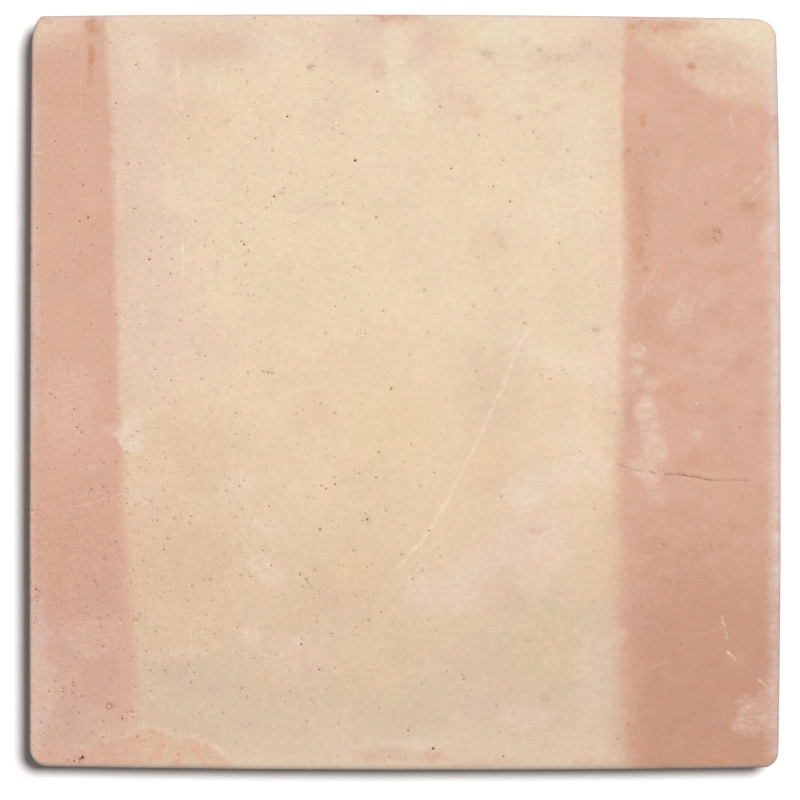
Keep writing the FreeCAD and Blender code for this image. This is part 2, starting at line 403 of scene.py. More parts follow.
def faceMarks(x, y, holes):  # how far each point sinks, how dark it is and how chalky
    sink, shadeAndRust, chalk = np.zeros(len(x)), np.zeros(len(x)), np.zeros(len(x))
    # each hole sinks, with painted shade at its bottom that fades out to a rusty rim
    for spot, radius, depth, shade in holes:
        away = distanceTo(x, y, spot) / radius
        sink += depth * np.clip(1 - away ** 2, 0, 1)
        shadeAndRust = np.maximum(shadeAndRust, shade * np.clip((1 - away) / 0.6, 0, 1))
    crack = dryingCrack
    gape = np.clip(0.8 + 1.3 * smoothNoise(x, y, crack["gapeSize"], 35.0), 0.2, 1.3)
    # the crack gets the same painted shade along its bottom where it gapes
    for run, opened in crack["runs"]:
        inside = crack["halfWidth"] - distanceToLine(x, y, run)
        depth = np.clip(inside / (crack["halfWidth"] - crack["floor"]), 0, 1)
        sink += crack["depth"] * opened * depth
        shadeAndRust = np.maximum(shadeAndRust, opened * gape * depth)
    touch = scuffTouch
    shakeX, shakeY = (touch["waver"] * smoothNoise(x, y, touch["waverSize"], layer) for layer in (17.0, 23.0))
    skips = np.clip(0.8 + 0.9 * smoothNoise(x, y, touch["skipSize"], 29.0), 0.15, 1.2)
    for line, halfWidth, strength in scuffs:
        away = distanceToLine(x + shakeX, y + shakeY, line) / (halfWidth * mm)
        rubbed = np.clip(1 - away, 0, 1) * skips
        chalk = np.maximum(chalk, strength * np.clip(1.4 * rubbed, 0, 1))
        sink += touch["depth"] * rubbed
    for u, v, radius in chalkDots:
        away = distanceTo(x, y, toFace((u, v))[0]) / (radius * mm)
        chalk = np.maximum(chalk, np.clip(1.6 - 1.6 * away, 0, 1))
    away = distanceTo(x, y, toFace(grainRing["place"])[0]) / grainRing["radius"]
    ring = np.clip(1 - np.abs(away - 0.65) / 0.35, 0, 1)
    shadeAndRust = np.maximum(shadeAndRust, grainRing["shadeAndRust"] * ring)
    return sink + grainRing["depth"] * ring, shadeAndRust, chalk


def wallRings(outline, inward, arris):  # rings of points from the rim of the face down to the back
    rim = outline + inward * arris[:, None]
    top = faceHeight(rim[:, 0], rim[:, 1])
    fullest = top - arris
    arrisSteps, wallSteps = 8, 10
    levels = []  # inset from the outline, height, how rough
    for angle in np.radians(np.linspace(0, 90, arrisSteps)):
        levels.append((arris * (1 - math.sin(angle)), top - arris * (1 - math.cos(angle)), 0.0))
    low = tileShape["backArris"]
    for share in np.linspace(0, 1, wallSteps + 1)[1:]:
        z = fullest + (low - fullest) * share
        levels.append(((fullest - z) * tileShape["draft"], z, min(1.0, 4 * share, 1.6 - share)))
    for angle in np.radians((30, 60, 90)):
        inset = (fullest - low) * tileShape["draft"] + low * (1 - math.cos(angle))
        levels.append((inset, np.full(len(outline), low * (1 - math.sin(angle))), 0.6 * math.cos(angle)))
    rings = []
    for inset, z, rough in levels:
        ring = outline + inward * inset[:, None]
        if rough:
            ring = ring + inward * (rough * wallRoughness(ring, z))[:, None]
        rings.append(np.column_stack([ring, z]))
    return np.array(rings)


def wallRoughness(ring, z):  # always inward of the fullest line
    x, y = ring.T
    inset = np.zeros(len(x))
    for depth, along, up, layer in tileShape["sides"]:
        places = zip(x / along, y / along, z / up + layer)
        inset += depth * (1 + np.array([noise.noise(place) for place in places]))
    return inset


def hexPoints(pitch):
    rows = np.arange(-tileShape["depth"] / 2, tileShape["depth"] / 2, pitch * math.sqrt(3) / 2)
    columns = np.arange(-tileShape["width"] / 2, tileShape["width"] / 2, pitch)
    x, y = np.meshgrid(columns, rows)
    x[1::2] += pitch / 2
    return np.stack([x.ravel(), y.ravel()], 1)


def insideRim(points, rim, margin):
    order = np.argsort(np.arctan2(rim[:, 1], rim[:, 0]))
    angles, reach = np.arctan2(rim[order, 1], rim[order, 0]), np.hypot(*rim[order].T)
    limit = np.interp(np.arctan2(points[:, 1], points[:, 0]), angles, reach, period=2 * math.pi)
    return points[np.hypot(*points.T) < limit - margin]


def clearOf(points, marks, room):
    tree = flatTree(marks)
    return np.array([p for p in points if tree.find((*p, 0))[2] > room])


def fillRim(rim, inner):
    count = len(rim)
    points = [Vector(p) for p in np.vstack([rim, inner])]
    edges = [(k, (k + 1) % count) for k in range(count)]
    found = delaunay_2d_cdt(points, edges, [], 1, 1e-9)
    source = [origins[0] for origins in found[3]]
    return np.array([[source[k] for k in triangle] for triangle in found[2]])


def buildTile():
    outline, inward = tileOutline()
    rings = wallRings(outline, inward, arrisRound(outline, inward))
    count = tileShape["columns"]
    faceRim, backRim = rings[0][:, :2], rings[-1][:, :2]
    holes = pinholeList()
    marks = insideRim(markPoints(holes), faceRim, 0.3 * mm)
    flat = insideRim(hexPoints(tileShape["pitch"]), faceRim, 0.9 * tileShape["pitch"])
    face = np.vstack([clearOf(flat, marks, tileShape["markRoom"]), marks])
    back = insideRim(hexPoints(tileShape["backPitch"]), backRim, 0.6 * tileShape["backPitch"])
    sink, shadeAndRust, chalk = faceMarks(face[:, 0], face[:, 1], holes)
    faceZ = faceHeight(face[:, 0], face[:, 1]) - sink
    backZ = hollowed(back[:, 0], back[:, 1], tileShape["backHollows"])
    points = np.vstack([rings.reshape(-1, 3), np.column_stack([face, faceZ]), np.column_stack([back, backZ])])
    walls = count * len(rings)
    lastRing = walls - count

    def numbered(triangles, rimStart, innerStart):
        return np.where(triangles < count, triangles + rimStart, triangles - count + innerStart)

    faceTriangles = numbered(fillRim(faceRim, face), 0, walls)
    backTriangles = numbered(fillRim(backRim, back), lastRing, walls + len(face))[:, ::-1]
    columns = np.arange(count)
    after = (columns + 1) % count
    quads = []
    for upper in range(0, lastRing, count):
        lower = upper + count
        quads.append(np.stack([upper + columns, lower + columns, lower + after, upper + after], 1))
    quads = np.vstack(quads)
    mesh = bpy.data.meshes.new("tile_clay")
    mesh.from_pydata(points.tolist(), [], faceTriangles.tolist() + quads.tolist() + backTriangles.tolist())
    mesh.shade_smooth()
    piece = placed("tile_clay", mesh)
    onFace = slice(walls, walls + len(face))
    marksOn = {"shadeAndRust": np.zeros(len(points)), "chalk": np.zeros(len(points))}
    marksOn["shadeAndRust"][onFace] = shadeAndRust
    marksOn["chalk"][onFace] = chalk
    triangles = len(faceTriangles) + len(backTriangles) + 2 * len(quads)
    print("tile mesh:", triangles, "triangles,", len(holes), "pinholes")
    return piece, points, marksOn, (outline, inward)


tilePiece, tilePoints, tileMarks, tileEdge = buildTile()

# Washes of colour over the cream clay.
# Each stroke: middle in picture pixels, half width, half height, strength, and any turn in degrees.
washes = {
    "pinkCream": [
        (115, 150, 88, 190, 0.85), (130, 310, 98, 150, 0.82), (200, 40, 130, 45, 0.7),
        (200, 350, 90, 55, 0.25), (350, 40, 60, 45, 0.75), (425, 45, 22, 32, 0.6), (452, 90, 28, 50, 0.5),
        (580, 55, 60, 22, 0.5), (612, 45, 30, 45, 0.65), (330, 105, 30, 26, 0.3), (315, 208, 24, 14, 0.3),
        (610, 340, 26, 120, 0.35), (300, 660, 70, 36, 0.45, 20), (480, 700, 40, 30, 0.3),
        (520, 545, 80, 50, 0.5, -28), (450, 590, 60, 36, 0.55, -20), (150, 520, 26, 110, 0.5),
    ],
    "tan": [
        (185, 450, 80, 62, 0.55), (190, 570, 90, 95, 0.75), (150, 540, 45, 80, 0.3),
        (155, 636, 32, 14, 0.4), (352, 572, 45, 38, 0.6), (300, 610, 70, 22, 0.35, -30),
        (490, 475, 36, 34, 0.6, -40), (205, 45, 62, 28, 0.40), (190, 125, 52, 70, 0.28),
        (315, 415, 34, 30, 0.4), (640, 120, 18, 30, 0.3), (480, 240, 30, 26, 0.2), (600, 580, 30, 40, 0.3),
    ],
    "olive": [
        (195, 682, 62, 34, 0.7, 6), (175, 670, 44, 24, 0.3), (240, 725, 95, 36, 0.4, 8),
        (540, 640, 75, 85, 0.55), (500, 720, 130, 40, 0.35), (495, 400, 60, 75, 0.22, 20),
        (390, 700, 90, 50, 0.26), (720, 56, 44, 24, 0.4, 10), (85, 690, 60, 60, 0.25),
        (600, 640, 30, 90, 0.4),
    ],
    "straw": [
        (388, 425, 75, 75, 0.42), (350, 500, 36, 26, 0.42, 30), (425, 515, 26, 20, 0.3, -30),
        (485, 470, 30, 22, 0.4, -30), (350, 570, 34, 26, 0.35), (310, 270, 90, 70, 0.15),
        (200, 420, 60, 26, 0.2), (545, 640, 62, 62, 0.25), (370, 680, 60, 40, 0.15),
    ],
    "mauve": [
        (85, 700, 64, 64, 0.4), (75, 748, 60, 24, 0.25), (60, 725, 50, 50, 0.3), (110, 650, 40, 50, 0.2),
        (52, 650, 34, 50, 0.34), (95, 590, 30, 30, 0.15), (720, 365, 46, 40, 0.14),
        (690, 505, 36, 26, 0.18), (715, 420, 36, 22, 0.14), (640, 610, 26, 50, 0.12),
    ],
    "rose": [
        (388, 16, 46, 4, 0.85, 2), (392, 22, 60, 9, 0.24, 3), (440, 40, 34, 22, 0.14),
        (672, 23, 44, 7, 0.6, 2), (660, 32, 36, 10, 0.25), (48, 19, 12, 4, 0.6, -8),
        (388, 755, 44, 9, 0.22), (433, 757, 23, 8, 0.46), (368, 757, 20, 8, 0.08),
        (150, 741, 13, 8, 0.12, 10), (205, 754, 20, 9, 0.2, 20), (480, 763, 50, 6, 0.2),
        (590, 762, 35, 6, 0.25), (540, 530, 16, 5, 0.25), (532, 528, 3, 3, 0.6), (540, 531, 3, 3, 0.5),
        (475, 113, 13, 11, 0.25), (136, 619, 7, 2.5, 0.8, -15), (283, 193, 5, 3, 0.5), (310, 67, 8, 5, 0.3),
        (111, 421, 5, 7, 0.4), (40, 510, 5, 4, 0.4), (292, 260, 4, 2, 0.5), (100, 680, 30, 36, 0.15),
        (185, 737, 62, 30, 0.12, 14), (636, 205, 16, 105, 0.24), (118, 445, 10, 22, 0.2),
        (690, 67, 7, 6, 0.85), (628, 408, 6, 26, 0.35), (379, 71, 13, 16, 0.1), (215, 48, 50, 22, 0.07),
        (90, 22, 8, 6, 0.75), (645, 315, 14, 26, 0.3), (705, 460, 50, 14, 0.2, 4), (740, 650, 30, 40, 0.15),
        (109, 706, 6, 6, 0.5), (716, 236, 12, 13, 0.3), (748, 206, 12, 9, 0.3),
    ],
    "ochre": [
        (93, 29, 8, 6, 0.6, 10), (91, 60, 5.5, 20, 0.68, 3), (91, 80, 4, 12, 0.3, 4),
        (68, 100, 38, 24, 0.08), (644, 120, 7, 14, 0.4, 8), (627, 151, 5, 5, 0.35), (638, 250, 8, 20, 0.3),
        (748, 205, 16, 12, 0.2), (632, 24, 9, 4.5, 0.75), (668, 27, 30, 5, 0.25), (716, 762, 11, 3.5, 0.6),
        (729, 671, 14, 3, 0.3), (657, 681, 8, 10, 0.25), (706, 233, 20, 16, 0.22), (644, 205, 12, 55, 0.12),
        (335, 602, 14, 5, 0.1, -20), (677, 391, 20, 15, 0.22), (675, 510, 26, 14, 0.1),
        (735, 683, 18, 6, 0.2), (652, 758, 14, 5, 0.2), (412, 18, 22, 4, 0.3, 2), (650, 310, 16, 26, 0.12),
        (690, 465, 24, 12, 0.14),
    ],
    "milk": [
        (409, 94, 28, 36, 0.62, 8), (399, 55, 16, 46, 0.55), (505, 32, 46, 24, 0.7, 4),
        (516, 80, 24, 46, 0.42), (742, 30, 44, 16, 0.7, 5), (758, 50, 22, 26, 0.3), (275, 45, 34, 34, 0.35),
        (140, 60, 26, 46, 0.35), (52, 22, 44, 24, 0.24), (534, 500, 26, 18, 0.12, -30),
        (565, 205, 60, 70, 0.28), (560, 362, 50, 17, 0.3, 18), (585, 440, 40, 26, 0.3),
        (590, 135, 34, 34, 0.32),
    ],
    # painted highlight along the west and south rims where the rounded edge catches the light, partly pale
    # wear, and a painted glint on the south edge
    "sheenAndWear": [
        (40, 690, 18, 75, 0.14), (38, 620, 14, 60, 0.14), (34, 735, 9, 40, 0.16), (34, 640, 8, 90, 0.16),
        (36, 300, 5, 220, 0.25), (36, 120, 5, 60, 0.25), (366, 767, 22, 3, 0.4),
    ],
    "bloom": [
        (132, 430, 21, 30, 0.7, 10), (112, 428, 15, 13, 0.2), (238, 488, 34, 22, 0.34),
        (272, 530, 30, 16, 0.3, 5), (266, 570, 26, 20, 0.38, 10), (250, 635, 20, 11, 0.34, 10),
        (298, 642, 12, 10, 0.25), (520, 345, 36, 15, 0.45, 25), (575, 372, 60, 22, 0.38, 20),
        (608, 350, 22, 50, 0.35), (575, 465, 52, 26, 0.48, -20), (528, 500, 38, 28, 0.53, -30),
        (605, 475, 18, 26, 0.4), (550, 485, 50, 34, 0.28, -25), (530, 540, 70, 42, 0.22, -20),
        (476, 562, 46, 26, 0.26, -38), (443, 582, 54, 36, 0.27, -15), (470, 600, 26, 20, 0.2),
        (555, 545, 46, 36, 0.2, -20), (532, 582, 24, 14, 0.25), (560, 440, 40, 20, 0.2, -20),
        (200, 190, 30, 60, 0.15), (645, 407, 15, 26, 0.42, -6), (648, 427, 15, 22, 0.4, -14),
        (655, 445, 16, 32, 0.42, -6), (645, 470, 19, 22, 0.36), (652, 490, 16, 18, 0.2),
        (637, 353, 13, 12, 0.45), (638, 372, 12, 14, 0.36), (649, 387, 14, 16, 0.24),
        (660, 425, 9, 13, 0.2), (697, 435, 8, 8, 0.3), (680, 312, 15, 34, 0.22, 28),
        (712, 296, 14, 26, 0.12, 28), (768, 240, 12, 34, 0.34), (720, 355, 40, 34, 0.12),
        (750, 717, 21, 23, 0.24, -14), (743, 728, 15, 13, 0.14), (737, 725, 10, 11, 0.26),
        (746, 704, 12, 12, 0.2), (764, 704, 14, 22, 0.14), (616, 637, 18, 9, 0.3, -45),
        (590, 670, 28, 75, 0.2), (530, 718, 36, 22, 0.2), (42, 690, 16, 70, 0.15), (70, 400, 50, 60, 0.14),
        (85, 634, 50, 26, 0.16), (185, 651, 32, 6, 0.16, 6), (410, 743, 66, 7, 0.26),
        (715, 88, 40, 12, 0.26, 10), (690, 80, 14, 10, 0.2, 40),
    ],
    "grime": [
        (380, 71, 13, 17, 0.13), (488, 54, 15, 9, 0.2, 20), (525, 41, 8, 5, 0.2), (540, 50, 9, 9, 0.26),
        (560, 58, 34, 8, 0.22, -8), (585, 44, 9, 8, 0.2), (586, 86, 11, 9, 0.2), (558, 107, 9, 7, 0.18),
        (556, 80, 16, 10, 0.1), (530, 95, 14, 10, 0.1), (468, 100, 12, 10, 0.1), (517, 119, 8, 5, 0.25),
        (545, 115, 6, 5, 0.2), (711, 27, 8, 4, 0.3), (641, 22, 4, 3, 0.5), (268, 373, 7, 5, 0.3),
        (593, 329, 11, 6, 0.25), (499, 240, 8, 20, 0.18, -25), (224, 122, 10, 7, 0.25),
        (749, 206, 7, 6, 0.25), (646, 268, 4, 5, 0.35), (81, 758, 6, 5, 0.4), (528, 639, 9, 4, 0.22),
        (545, 697, 10, 6, 0.2), (671, 732, 4, 6, 0.25), (495, 395, 60, 70, 0.06, 20), (113, 671, 7, 7, 0.2),
        (366, 520, 7, 5, 0.25), (310, 67, 6, 4, 0.2), (87, 24, 4, 3, 0.35), (94, 31, 4, 3, 0.3),
        (715, 232, 6, 8, 0.25), (330, 204, 8, 5, 0.15), (550, 388, 12, 8, 0.12), (90, 20, 7, 4, 0.3),
        (691, 67, 6, 5, 0.3), (708, 205, 8, 6, 0.16), (652, 150, 14, 8, 0.16), (645, 205, 12, 50, 0.12),
        (655, 150, 20, 30, 0.08), (700, 545, 30, 16, 0.1), (745, 525, 22, 12, 0.14),
        (735, 590, 10, 8, 0.16), (660, 680, 10, 10, 0.14), (640, 705, 16, 8, 0.08), (565, 175, 30, 8, 0.1),
        (430, 118, 8, 6, 0.14), (165, 665, 40, 16, 0.1), (360, 480, 40, 30, 0.08),
    ],
}
# Where a stroke ends and where it is full, by the share of its reach.
washEdge = {"bloom": (0.82, 0.48), "others": (1.0, 0.3)}

# Pale strip along each face edge, part wear, part painted highlight on the rounded rim: by the way it faces,
# how far in, strength.
edgeSheenAndWear = {
    (1, 0): (7.2 * mm, 0.62),
    (0, 1): (2.8 * mm, 0.50),
    (-1, 0): (2.4 * mm, 0.42),
    (0, -1): (2.4 * mm, 0.36),
}

# Firing bands: where the pink meets the cream down the picture, how soft that meeting is, and the faint
# pink that runs on into the cream.
firingBands = {
    "down": (0, 45, 130, 210, 300, 350, 400, 460, 540, 600, 650, 700, 800),
    "west": (104, 106, 113, 114.5, 117, 119, 119.5, 124.5, 127.5, 130, 136, 138, 138),
    "westSoft": (6, 6, 6, 6, 5, 5, 5, 8, 10, 10, 10, 12, 13),
    "east": (625, 624, 622.5, 623, 622.5, 621, 620, 619, 619, 619, 620, 623.5, 628),
    "eastSoft": (5, 6, 6, 6, 9, 11, 11, 11, 14, 14, 13, 11, 10),
    "tail": 0.16,
    "tailReach": 34,
    # how much of the pink is missing at three corners; at the north east it goes in two steps
    "northWest": 0.44,
    "northEast": (0.48, 0.36),
    "southWest": 0.3,
    # the cream corner at the north east ends along this line
    "creamCorner": [(625, 28), (640, 40), (665, 58), (690, 78), (706, 92), (730, 99), (775, 106), (800, 106)],
}

# Tide mark left by damp at the south west: where its rim runs, how strong the peach below it is, and the rim.
tideMark = {
    "rim": [
        (26, 751), (48, 747), (70, 750), (88, 745), (101, 737), (112, 741), (124, 738), (133, 730),
        (143, 726), (154, 727), (164, 730), (172, 734), (188, 736), (199, 739), (212, 745), (228, 757),
        (250, 775),
    ],
    "peach": 0.40,
    "pale": 0.32,
}


def brushed(strokes, u, v, frayed, edge):
    left = np.ones(len(u))
    for middleU, middleV, reachU, reachV, strength, *turn in strokes:
        angle = math.radians(sum(turn))
        c, s = math.cos(angle), math.sin(angle)
        along = ((u - middleU) * c + (v - middleV) * s) / reachU
        across = ((v - middleV) * c - (u - middleU) * s) / reachV
        left *= 1 - strength * ramp(np.hypot(along, across) + frayed, *edge)
    return 1 - left


def overlaid(layer, extra):
    return 1 - (1 - layer) * (1 - extra)


def paintWashes(u, v, upper, drift):
    broadU, broadV, fineU, fineV = drift
    softU, softV = u + 9 * broadU + 4 * fineU, v + 9 * broadV + 4 * fineV
    nearU, nearV = u + 2.5 * fineU, v + 2.5 * fineV
    narrowest = 16  # pixels; strokes below this stray less
    layers = {}
    for number, (name, strokes) in enumerate(washes.items()):
        small = [s for s in strokes if min(s[2], s[3]) < narrowest]
        large = [s for s in strokes if min(s[2], s[3]) >= narrowest]
        broadShred, fineShred = (smoothNoise(u, v, size, 30.5 + 9 * number) for size in (24, 9))
        frayed = 0.28 * broadShred + 0.22 * fineShred
        edge = washEdge.get(name, washEdge["others"])
        broad = brushed(large, softU, softV, frayed, edge)
        wash = overlaid(broad, brushed(small, nearU, nearV, frayed, edge))
        layers[name] = upper * np.clip(wash * (1 + 0.3 * broadShred + 0.3 * fineShred), 0, 1)
    return layers


def paintBands(u, v, drift):
    broadU, broadV, fineU, fineV = drift
    bands = firingBands
    west, westSoft, east, eastSoft = (
        np.interp(v, bands["down"], bands[k]) for k in ("west", "westSoft", "east", "eastSoft")
    )
    ragged = u + 2.5 * fineU + 3 * broadU
    blush = ramp(ragged, west + westSoft, west - westSoft) + ramp(ragged, east - eastSoft, east + eastSoft)
    tail = ramp(ragged, west + bands["tailReach"], west) + ramp(ragged, east - bands["tailReach"], east)
    blush = np.maximum(blush, bands["tail"] * tail) + (1 - blush) * bands["tail"] * tail * blush
    slant = v + 0.45 * (u - 31) + 9 * fineU + 8 * broadU
    blush *= 1 - bands["northWest"] * ramp(slant, 84, 14) * ramp(u, 118, 70)
    above = np.interp(u, *np.array(bands["creamCorner"]).T) - v + 6 * fineV + 5 * broadV
    first, second = bands["northEast"]
    blush *= 1 - (first * ramp(above, -12, 12) + second * ramp(above, 14, 62)) * ramp(u, 600, 660)
    blush *= 1 - bands["southWest"] * ramp(v, 690, 745) * ramp(u, 220, 120)
    return blush


def edgeGap(points, outline, inward):  # how far each point is from the outline, and which way that edge faces
    tree = flatTree(outline)
    found = [tree.find((x, y, 0)) for x, y in points[:, :2].tolist()]
    return np.array([f[2] for f in found]), -inward[[f[1] for f in found]]


def paintTile(points, marks, outline, inward):
    u, v = toPicture(points)
    upper = ramp(points[:, 2], 9 * mm, 16 * mm)  # the washes lie on the face and fade down the sides
    drift = [smoothNoise(u, v, size, layer) for size, layer in ((46, 1.5), (46, 7.5), (11, 13.5), (11, 21.5))]
    broadU, broadV, fineU, fineV = drift
    layers = paintWashes(u, v, upper, drift)
    blush = paintBands(u, v, drift)
    layers["blush"] = blush
    # darker fired clay low in the east band, and a little in the west one
    layers["ember"] = ramp(u, 600, 660) * ramp(v + 14 * broadV, 410, 680) * upper
    layers["ember"] += 0.3 * ramp(u, 130, 100) * ramp(v + 12 * broadV, 440, 540) * ramp(v, 680, 590) * upper
    layers["pinkCream"] *= 1 - blush
    # pale strips along the edges: partly wear, partly painted highlight on the rounded rims
    gap, facing = edgeGap(points, outline, inward)
    inner = gap + mm * (0.6 * fineU + 0.7 * broadU)
    for way, (reach, strength) in edgeSheenAndWear.items():
        turned = np.clip(facing @ np.array(way), 0, None) ** 2
        strip = strength * turned * ramp(inner, reach, 0.15 * reach) * (1 + 0.4 * fineV) * upper
        if way == (1, 0):  # weaker at both ends of the east side
            strip *= ramp(v, 20, 80) * (1 - 0.15 * ramp(v, 560, 680))
        layers["sheenAndWear"] = overlaid(layers["sheenAndWear"], strip)
    # painted reflection: a faint pale glint along the rim of the north edge
    northGlint = ramp(u, 430, 480) * ramp(u, 660, 620) * np.clip(facing[:, 1], 0, None)
    layers["sheenAndWear"] = overlaid(layers["sheenAndWear"], 0.25 * northGlint * ramp(gap, 1.3 * mm, 0.7 * mm) * upper)
    below = v - np.interp(u, *np.array(tideMark["rim"]).T) + 1.6 * fineU
    damp = ramp(u, 265, 225) * upper
    layers["peach"] = tideMark["peach"] * ramp(below, -1.5, 4.5) * np.clip(1 + 1.1 * fineV, 0, 2) * damp
    pale = tideMark["pale"] * np.exp(-(below / 2.6) ** 2) * np.clip(1 + 1.3 * fineU, 0, 2) * damp
    layers["milk"] = overlaid(layers["milk"], pale * ramp(u, 30, 130))
    layers.update(marks)
    layers["wall"] = ramp(points[:, 2], 15.2 * mm, 11.5 * mm)
    layers["patchy"] = blush * (0.3 + 0.7 * ramp(u, 300, 600)) * (1 - 0.6 * ramp(v, 440, 640))
    # grit lies thicker to the west, and most of all at the south west
    layers["grit"] = 0.18 + 0.1 * ramp(u, 620, 400) + 0.45 * ramp(u + 40 * broadU, 500, 150)
    layers["grit"] += 0.8 * ramp(u, 160, 110) * ramp(v, 520, 620)
    layers["grit"] += 0.18 * ramp(u, 340, 250) * ramp(v, 430, 520)
    return layers


def storeLayers(mesh, layers):
    for name, values in layers.items():
        layer = mesh.attributes.new(name, "FLOAT", "POINT")
        layer.data.foreach_set("value", np.clip(values, 0, 1).astype(np.float32))
    print("colour layers painted:", ", ".join(layers))


storeLayers(tilePiece.data, paintTile(tilePoints, tileMarks, *tileEdge))

# Terracotta finish: colours as they look on a screen, 0 to 255.
terracotta = {
    # cream clay from the south edge to the north, by the share of the depth; the ramp paints shade, darker
    # and warmer toward the south edge
    "cream": [
        (0.0, (223, 199, 173)), (0.1, (220, 194, 166)), (0.22, (225, 197, 168)), (0.32, (230, 202, 172)),
        (0.48, (235, 208, 177)), (0.62, (236, 211, 181)), (1.0, (236, 212, 183)),
    ],
    # each wash in the order it was laid
    "layers": [
        ("pinkCream", (228, 199, 179)), ("tan", (224, 191, 161)), ("olive", (212, 189, 165)),
        ("straw", (234, 207, 164)), ("blush", (219, 173, 151)), ("ember", (199, 150, 126)),
        ("mauve", (206, 170, 156)), ("rose", (210, 150, 129)), ("ochre", (202, 138, 92)),
        ("peach", (222, 172, 144)), ("bloom", (237, 213, 194)), ("milk", (236, 221, 194)),
        # sheenAndWear is partly pale wear and partly painted highlight and reflection on the rims of the face
        ("sheenAndWear", (221, 204, 198)), ("grime", (174, 134, 110)), ("chalk", (247, 229, 203)),
    ],
    "rust": (156, 104, 68),  # rim of a pinhole
    # painted shade at the bottom of a pinhole or the crack
    "pitShade": (46, 22, 12),
    "wall": (210, 162, 136),
    "wallDust": (232, 204, 180),
    "fraySize": 2.4 * mm,  # the edges of the washes break up at this size
    # the patterns they break up in: stretch, shift, strength
    "frays": [((1, 1, 1), 0.0, 1.2), ((1, 1, 1), 0.31, 1.2), ((0.7, 2.2, 1), 0.57, 1.44)],
    "fibrous": ("bloom", "milk"),  # these break up into fine level streaks, by the last pattern
    "grimeSize": 1.0 * mm,  # grime breaks up into specks of this size
    # patches in the pink: size, stretch, from and to which height of the noise they show, strength, colour
    "bandPatches": [
        (9 * mm, (0.6, 1, 1), 0.5, 0.68, 0.30, (200, 150, 120)),
        (7 * mm, (0.7, 1, 1), 0.52, 0.7, 0.34, (230, 188, 172)),
    ],
    # how far each pattern lightens and darkens the clay: size, stretch in x and y, depth
    "tones": [
        (0.6 * mm, 1, 1, 0.078), (3.2 * mm, 1, 1, 0.05), (24 * mm, 1, 1, 0.03), (2.6 * mm, 1, 0.09, 0.010),
        (1.2 * mm, 0.16, 1, 0.014),
    ],
    "hues": [(4.5 * mm, 0.05), (16 * mm, 0.05)],  # warmer and cooler patches: size, depth
    # grit: spacing, how strong, colour
    "specks": [
        (1.3 * mm, 0.55, (128, 82, 60)), (2.4 * mm, 0.75, (100, 56, 38)), (1.9 * mm, 0.45, (252, 238, 216)),
    ],
    "speckClusters": 9 * mm,
    "gritGrain": 0.5 * mm,
    # on the sides
    "dustSize": 5.0 * mm,
    "sandSize": 1.1 * mm,
    "pitSize": 3.4 * mm,
    "relief": 0.12 * mm,  # height of the bump
    "wallRelief": 2.4,  # how many times rougher the sides are
}


def screenColour(rgb):
    return [(c / 255 / 12.92 if c <= 10 else ((c / 255 + 0.055) / 1.055) ** 2.4) for c in rgb] + [1.0]


def emptyTree(owner):  # node tree of a material or a world
    owner.use_nodes = True
    owner.node_tree.nodes.clear()
    return owner.node_tree


def newNode(tree, kind, inputs=None, **settings):
    made = tree.nodes.new("ShaderNode" + kind)
    for name, value in settings.items():
        setattr(made, name, value)
    for name, value in (inputs or {}).items():
        if isinstance(value, bpy.types.NodeSocket):
            tree.links.new(value, made.inputs[name])
        else:
            made.inputs[name].default_value = value
    return made


